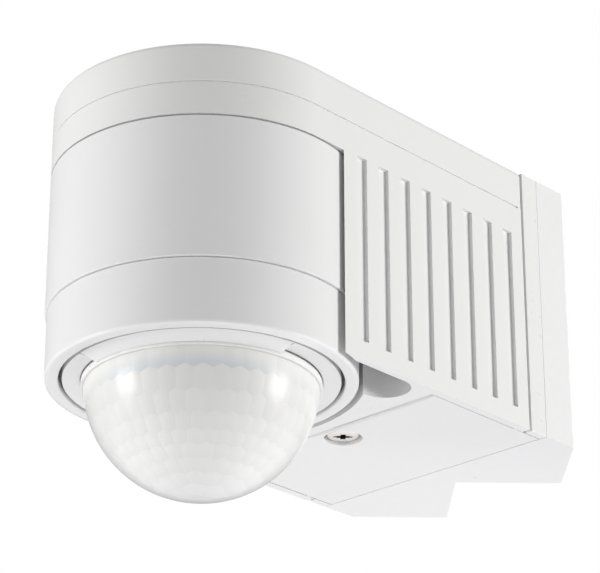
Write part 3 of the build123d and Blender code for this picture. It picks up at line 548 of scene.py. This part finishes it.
def lenslet_rows(tree, place):
    """Maths of the lenslets: each row's cells have peaked tops that reach over the row above.

    Gives a cell's height, the shade painted down it, its own tone, and the mask of the uppermost row's lower
    end on one side, where a bluish shade is painted."""
    offset = put(tree, "ShaderNodeVectorMath", {"operation": "SUBTRACT"}, {0: place, 1: lens_centre})
    offset = offset.outputs[0]
    reach = put(tree, "ShaderNodeVectorMath", {"operation": "LENGTH"}, {0: offset}).outputs["Value"]
    parts = put(tree, "ShaderNodeSeparateXYZ", {}, {0: offset}).outputs
    fall = sum_of(tree, "DIVIDE", sum_of(tree, "MULTIPLY", parts["Z"], -1.0), reach)
    tilt = sum_of(tree, "DEGREES", sum_of(tree, "ARCCOSINE", fall))
    forward = sum_of(tree, "MULTIPLY", parts["Y"], -1.0)
    across = sum_of(tree, "DEGREES", sum_of(tree, "ARCTAN2", parts["X"], forward))
    across = sum_of(tree, "ADD", across, 360.0)
    height = shade = tone = 0.0
    upper = 0.0
    for row, (edge, pitch, start) in enumerate(zip(row_edges, row_pitches, row_starts)):
        tall = edge - row_edges[row + 1]
        whole_pitch = 360.0 / round(360.0 / pitch)
        count = sum_of(tree, "DIVIDE", sum_of(tree, "SUBTRACT", across, start), whole_pitch)
        side = sum_of(tree, "SUBTRACT", sum_of(tree, "FRACT", count), 0.5)
        wing = sum_of(tree, "ABSOLUTE", side)
        rise = 0.0 if row == 0 else 0.36 * tall
        peak = sum_of(tree, "MULTIPLY", sum_of(tree, "SUBTRACT", 0.5, wing), rise)
        top = sum_of(tree, "ADD", peak, edge - (0.0 if row == 0 else 0.1 * tall))
        inside = sum_of(tree, "LESS_THAN", tilt, top)
        down = sum_of(tree, "DIVIDE", sum_of(tree, "SUBTRACT", top, tilt), tall)
        crown = sum_of(tree, "MULTIPLY", sum_of(tree, "MULTIPLY", side, side), 3.0)
        bulge = sum_of(tree, "SUBTRACT", 1.0, crown)
        half_down = sum_of(tree, "SUBTRACT", down, 0.5)
        bulge = sum_of(tree, "SUBTRACT", bulge, sum_of(tree, "MULTIPLY", half_down, half_down))
        number = sum_of(tree, "FLOOR", count)
        chance = sum_of(tree, "FRACT", sum_of(tree, "MULTIPLY", number, 0.618 + 0.07 * row))
        outside = sum_of(tree, "SUBTRACT", 1.0, inside)
        chosen = []
        for old, new in ((height, bulge), (shade, down), (tone, chance)):
            kept = sum_of(tree, "MULTIPLY", outside, old)
            chosen.append(sum_of(tree, "ADD", kept, sum_of(tree, "MULTIPLY", inside, new)))
        height, shade, tone = chosen
        if row == 0:
            upper = inside
        elif row == 1:
            upper = sum_of(tree, "MULTIPLY", upper, outside)
    # Painted shade: the uppermost row's lower end gets a bluish shade only on the side round azimuth 36
    # degrees.
    facing = sum_of(tree, "COSINE", sum_of(tree, "RADIANS", sum_of(tree, "SUBTRACT", across, painted_shade_side)))
    upper = sum_of(tree, "MULTIPLY", upper, banded(tree, facing, 0.6, 0.9))
    first = sum_of(tree, "MULTIPLY", upper, banded(tree, shade, 0.35, 0.95))
    return height, shade, tone, first


def lens_section():
    """Points of the lens wall as (radius, height), from the outside of the pole round to the inside."""
    def quarter(radius, steps):
        """Points of a quarter circle about the lens's centre, at these fractions of it from the pole."""
        turns = [math.radians(90) * step for step in steps]
        return [(radius * math.sin(turn), lens_centre.z - radius * math.cos(turn)) for turn in turns]

    outer = quarter(lens_radius, [step / 60 for step in range(59)])
    lip_low = lens_centre.z - 1.65 * mm
    shelf = lens_flange.z - 0.7 * mm
    lip = lens_radius + 0.65 * mm
    fillet = 0.15 * mm
    rim = [(lens_radius, lip_low), (lip - fillet, lip_low), (lip, lip_low + fillet)]
    rim += [(lip, lens_centre.z - fillet), (lip - fillet, lens_centre.z), (lens_radius, lens_centre.z)]
    rim += [(lens_radius, shelf), (lens_flange.x - fillet, shelf), (lens_flange.x, shelf + fillet)]
    rim += [(lens_flange.x, lens_flange.z), (lens_radius - lens_wall, lens_flange.z)]
    return outer + rim + quarter(lens_radius - lens_wall, [step / 120 for step in range(120, -1, -1)])


def build_lenslets():
    """Raises the lenslets on the inside of the lens wall."""
    sockets = [("Geometry", "NodeSocketGeometry", None), ("Relief", "NodeSocketFloat", 0.0002)]
    sockets += [("Inner Radius", "NodeSocketFloat", 0.027), ("Material", "NodeSocketMaterial", None)]
    outputs = [("Geometry", "NodeSocketGeometry")]
    tree, given, result = new_group("lenslets", "GeometryNodeTree", sockets, outputs)
    place = tree.nodes.new("GeometryNodeInputPosition").outputs[0]
    height = lenslet_rows(tree, place)[0]
    offset = put(tree, "ShaderNodeVectorMath", {"operation": "SUBTRACT"}, {0: place, 1: lens_centre})
    offset = offset.outputs[0]
    reach = put(tree, "ShaderNodeVectorMath", {"operation": "LENGTH"}, {0: offset}).outputs["Value"]
    low = put(tree, "ShaderNodeSeparateXYZ", {}, {0: offset}).outputs["Z"]
    inner = sum_of(tree, "LESS_THAN", reach, sum_of(tree, "ADD", given["Inner Radius"], 0.1 * mm))
    below = sum_of(tree, "LESS_THAN", low, -1.7 * mm)
    relief = sum_of(tree, "MULTIPLY", height, given["Relief"])
    amount = sum_of(tree, "MULTIPLY", relief, sum_of(tree, "MULTIPLY", inner, below))
    amount = sum_of(tree, "MULTIPLY", amount, -1.0)
    outward = put(tree, "ShaderNodeVectorMath", {"operation": "NORMALIZE"}, {0: offset}).outputs[0]
    push = put(tree, "ShaderNodeVectorMath", {"operation": "SCALE"}, {0: outward, "Scale": amount})
    moved = put(tree, "GeometryNodeSetPosition", {}, {0: given["Geometry"], "Offset": push.outputs[0]})
    real = put(tree, "GeometryNodeRealizeInstances", {}, {0: moved.outputs[0]}).outputs[0]
    final = put(tree, "GeometryNodeSetMaterial", {}, {0: real, "Material": given["Material"]}).outputs[0]
    tree.links.new(final, result["Geometry"])
    return tree


def milky_lens():
    """Milky polyethylene: soft light in the wall, a glossy coat, and the lenslet cells painted on it: painted
    shade down each cell, random tones, and a painted bluish shade on one side of the uppermost row.
    """
    material, tree, surface = new_material("milky_lens")
    place = tree.nodes.new("ShaderNodeTexCoord").outputs["Object"]
    height, shade, tone, first = lenslet_rows(tree, place)
    values = {"Colour": (0.79, 0.79, 0.785, 1), "Roughness": 0.3, "Grain Size": 1.2}
    values.update({"Mottle": 0.015, "Specks": 0.15})
    skin = put(tree, "ShaderNodeGroup", {"node_tree": moulded_grain}, values).outputs
    # Painted shade: each lenslet cell darkens towards its lower edge.
    painted_cell_shade = sum_of(tree, "MULTIPLY", banded(tree, shade, 0.3, 1.1), 0.22)
    darker = mixed(tree, painted_cell_shade, skin["Colour"], (0.6, 0.62, 0.66, 1))
    uneven = mixed(tree, sum_of(tree, "MULTIPLY", tone, 0.14), darker, (0.68, 0.67, 0.64, 1))
    # Painted shade: a bluish shade on the lower end of the uppermost row, on one side only.
    blue = mixed(tree, sum_of(tree, "MULTIPLY", first, 0.34), uneven, (0.48, 0.56, 0.64, 1))
    tree.links.new(blue, surface.inputs["Base Color"])
    tree.links.new(skin["Roughness"], surface.inputs["Roughness"])
    surface.inputs["Coat Weight"].default_value = 0.75
    surface.inputs["Coat Roughness"].default_value = 0.19
    surface.inputs["Coat IOR"].default_value = 1.5
    surface.inputs["Subsurface Weight"].default_value = 0.3
    surface.inputs["Subsurface Radius"].default_value = (1.0, 1.0, 1.1)
    surface.inputs["Subsurface Scale"].default_value = 1.5 * mm
    surface.inputs["Specular IOR Level"].default_value = 0.2
    bumped(tree, surface, height, 0.35 * mm, 0.22)
    return material


lens_milk = milky_lens()
lens_values = {"Relief": 0.25 * mm, "Inner Radius": lens_radius - lens_wall, "Material": lens_milk}
lens = grown("dome_lens_moulding", build_lenslets(), turned("lens_wall", lens_section()), lens_values)
lens.data.shade_smooth()
lens.data.set_sharp_from_angle(angle=math.radians(40))
fit(lens, lens_milk, "head", "lens_plastic", "dome_lens")
finish_nodes(black_rubber, "lens_gasket")

# Sensor board: a round glass-fibre board with green solder mask, screwed up under the carrier's roof.
# It carries the detector cans in a black holder, the dials' potentiometers, the lamp and the light sensor.


def board_green(name):
    """Solder mask over copper: paler tracks under the green, with tinned pads."""
    material, tree, surface = new_material(name)
    place = tree.nodes.new("ShaderNodeTexCoord").outputs["Object"]
    cells = put(tree, "ShaderNodeTexVoronoi", {"distance": "CHEBYCHEV"}, {"Vector": place, "Scale": 260.0})
    chosen = put(tree, "ShaderNodeSeparateColor", {}, {"Color": cells.outputs["Color"]}).outputs["Green"]
    near = sum_of(tree, "LESS_THAN", cells.outputs["Distance"], 0.16)
    pad = sum_of(tree, "MULTIPLY", near, sum_of(tree, "GREATER_THAN", chosen, 0.6))
    wave = {"Vector": place, "Scale": 130.0, "Distortion": 6.0, "Detail": 1.0, "Detail Scale": 0.6}
    bands = put(tree, "ShaderNodeTexWave", {"bands_direction": "X"}, wave).outputs["Fac"]
    track = sum_of(tree, "GREATER_THAN", bands, 0.7)
    values = {"Colour": (0.02, 0.13, 0.05, 1), "Roughness": 0.3, "Grain Size": 0.8}
    values.update({"Mottle": 0.1, "Specks": 0.2})
    skin = put(tree, "ShaderNodeGroup", {"node_tree": moulded_grain}, values).outputs
    traced = mixed(tree, sum_of(tree, "MULTIPLY", track, 0.6), skin["Colour"], (0.04, 0.24, 0.09, 1))
    tree.links.new(mixed(tree, pad, traced, (0.7, 0.69, 0.66, 1)), surface.inputs["Base Color"])
    tree.links.new(pad, surface.inputs["Metallic"])
    tree.links.new(skin["Roughness"], surface.inputs["Roughness"])
    bumped(tree, surface, sum_of(tree, "ADD", track, pad), 0.035 * mm)
    return material


finish_nodes(board_green("sensor_solder_mask"), "sensor_board")
black_plastic = moulded_plastic("black_nylon", (0.03, 0.03, 0.03), roughness=0.5, mottle=0.1, specks=0.5)
grey_plastic = moulded_plastic("grey_polyamide", (0.42, 0.43, 0.44), roughness=0.45, mottle=0.05)
blue_case = moulded_plastic("blue_case", (0.04, 0.12, 0.38), roughness=0.25, grain=0.6, mottle=0.08,
                            specks=0.2)
can_metal = metal("detector_can_nickel", (0.66, 0.63, 0.56), roughness=0.22, stretch=(1, 1, 5))
red_epoxy = moulded_plastic("red_epoxy", (0.6, 0.03, 0.02), roughness=0.15, grain=1.5, relief=0.003,
                            specks=0.1)
clear_epoxy = moulded_plastic("clear_epoxy", (0.75, 0.76, 0.78), roughness=0.1, grain=1.5, relief=0.003,
                              specks=0.1)
finish_nodes(black_plastic, "sensor_holder", "head_lead")
finish_nodes(can_metal, "heat_sensor_1", "heat_sensor_2", "heat_sensor_3", "heat_sensor_4")
finish_nodes(blue_case, "trimmers")
finish_nodes(red_epoxy, "status_led")
finish_nodes(clear_epoxy, "light_sensor")
finish_nodes(grey_plastic, "time_dial", "daylight_dial", "range_dial", "head_connector")
screws("sensor_board_fixing_screws", "sensor_board_screws", (0, 0, 1), "head",
       (2.0, 1.4, 0.5), (0.75, 6.0, 0.6), (3.6, 0.45, 2.0, 0.6, 0.8), plated)

# Power board and terminals: an insulating tray in the arm with the supply board above it and the mains
# terminals below, joined by brass blades; the signal lead runs from here over the seat to the hub.
finish_nodes(board_green("power_solder_mask"), "power_board")
brass = metal("tinned_brass", (0.72, 0.56, 0.3), roughness=0.3, tarnish=0.5)
orange_case = moulded_plastic("orange_case", (0.7, 0.3, 0.04), roughness=0.25, grain=0.6, mottle=0.08,
                              specks=0.2)
finish_nodes(grey_plastic, "electronics_tray", "terminal_block", "lead_clip", "board_connector")
finish_nodes(black_plastic, "signal_lead", "fuse")
finish_nodes(brass, "contact_blades")
finish_nodes(orange_case, "mains_capacitor")
finish_nodes(blue_case, "relay", "storage_capacitors", "surge_absorber")
finish_nodes(plated, "terminal_screws")
screws("power_board_fixing_screws", "board_screws", (0, 0, -1), "housing",
       (2.2, 1.6, 0.6), (0.82, 5.6, 0.7), (4.0, 0.5, 2.2, 0.7, 0.9), plated)

# Studio: a pale floor that glows a little, a white surround, two soft boxes that show in the gloss with
# plain fill lights round them, and a camera below the detector that looks up at it.
floor_drop = 1.3
floor_half = 6.0
corners = [(-floor_half, -floor_half), (floor_half, -floor_half)]
corners += [(floor_half, floor_half), (-floor_half, floor_half)]
floor_mesh = bpy.data.meshes.new("studio_floor")
floor_mesh.from_pydata([(x, y, -floor_drop) for x, y in corners], [], [(0, 1, 2, 3)])
floor = bpy.data.objects.new("studio_floor", floor_mesh)
scene.collection.objects.link(floor)
floor_paint = bpy.data.materials.new("pale_floor")
floor_paint.use_nodes = True
paint = floor_paint.node_tree.nodes["Principled BSDF"]
paint.inputs["Base Color"].default_value = (0.88, 0.88, 0.88, 1)
paint.inputs["Roughness"].default_value = 0.8
paint.inputs["Emission Color"].default_value = (0.98, 0.97, 1.0, 1)
glossy = floor_paint.node_tree.nodes.new("ShaderNodeLightPath").outputs["Is Glossy Ray"]
glow = put(floor_paint.node_tree, "ShaderNodeMapRange", {}, {0: glossy, 3: 0.13, 4: 0.5}).outputs[0]
floor_paint.node_tree.links.new(glow, paint.inputs["Emission Strength"])
floor_mesh.materials.append(floor_paint)

scene.view_settings.view_transform = "Standard"
world = bpy.data.worlds.new("studio")
scene.world = world
world.use_nodes = True
backdrop = world.node_tree
surround = backdrop.nodes["Background"]
surround.inputs["Color"].default_value = (1, 1, 1, 1)
seen = backdrop.nodes.new("ShaderNodeLightPath").outputs["Is Camera Ray"]
strength = put(backdrop, "ShaderNodeMapRange", {}, {0: seen, 3: 0.3, 4: 1.0}).outputs[0]
backdrop.links.new(strength, surround.inputs["Strength"])


def away(azimuth, elevation):
    """Direction from the detector at these angles, counted from straight ahead and from level."""
    turn, lift = math.radians(azimuth), math.radians(elevation)
    return Vector((math.sin(turn) * math.cos(lift), -math.cos(turn) * math.cos(lift), math.sin(lift)))


def soft_box(name, azimuth, elevation, distance, size, power, mirrored=False,
             tint=(1, 0.995, 0.98)):
    """Rectangular studio light that faces the head, placed by its direction from straight ahead."""
    data = bpy.data.lights.new(name, "AREA")
    data.shape = "RECTANGLE"
    data.size, data.size_y = size
    data.energy = power
    data.color = tint
    light = bpy.data.objects.new(name, data)
    back = away(azimuth, elevation)
    light.location = Vector((0, -60 * mm, 0)) + back * distance
    light.rotation_mode = "QUATERNION"
    light.rotation_quaternion = (-back).to_track_quat("-Z", "Y")
    light.visible_glossy = mirrored
    scene.collection.objects.link(light)


soft_box("right_box", 124, -5, 1.7, (0.62, 0.6), 6.5, mirrored=True)
soft_box("right_wall", 124, -5, 1.75, (0.62, 0.6), 16.5)
soft_box("left_box", -31, -5, 1.5, (0.54, 0.52), 4.6, mirrored=True)
soft_box("left_wall", -31, -5, 1.55, (0.54, 0.52), 11.4)
soft_box("low_left_fill", -40, -50, 0.9, (0.5, 0.5), 1.0, tint=(0.98, 0.97, 1.0))
soft_box("low_back_fill", 200, -45, 0.6, (0.4, 0.4), 0.9, tint=(0.98, 0.97, 1.0))
soft_box("top_fill", 200, 75, 1.3, (0.8, 0.8), 5.0)

camera_back = away(43.409, -24.555)
camera_target = Vector((27.552, -88.574, -17.442)) * mm
camera_distance = 592.86 * mm
camera_data = bpy.data.cameras.new("camera")
camera_data.sensor_width = 36.0
camera_data.lens = 150.83
camera = bpy.data.objects.new("camera", camera_data)
scene.collection.objects.link(camera)
camera.location = camera_target + camera_back * camera_distance
camera.rotation_mode = "QUATERNION"
camera.rotation_quaternion = (-camera_back).to_track_quat("-Z", "Y")
scene.camera = camera
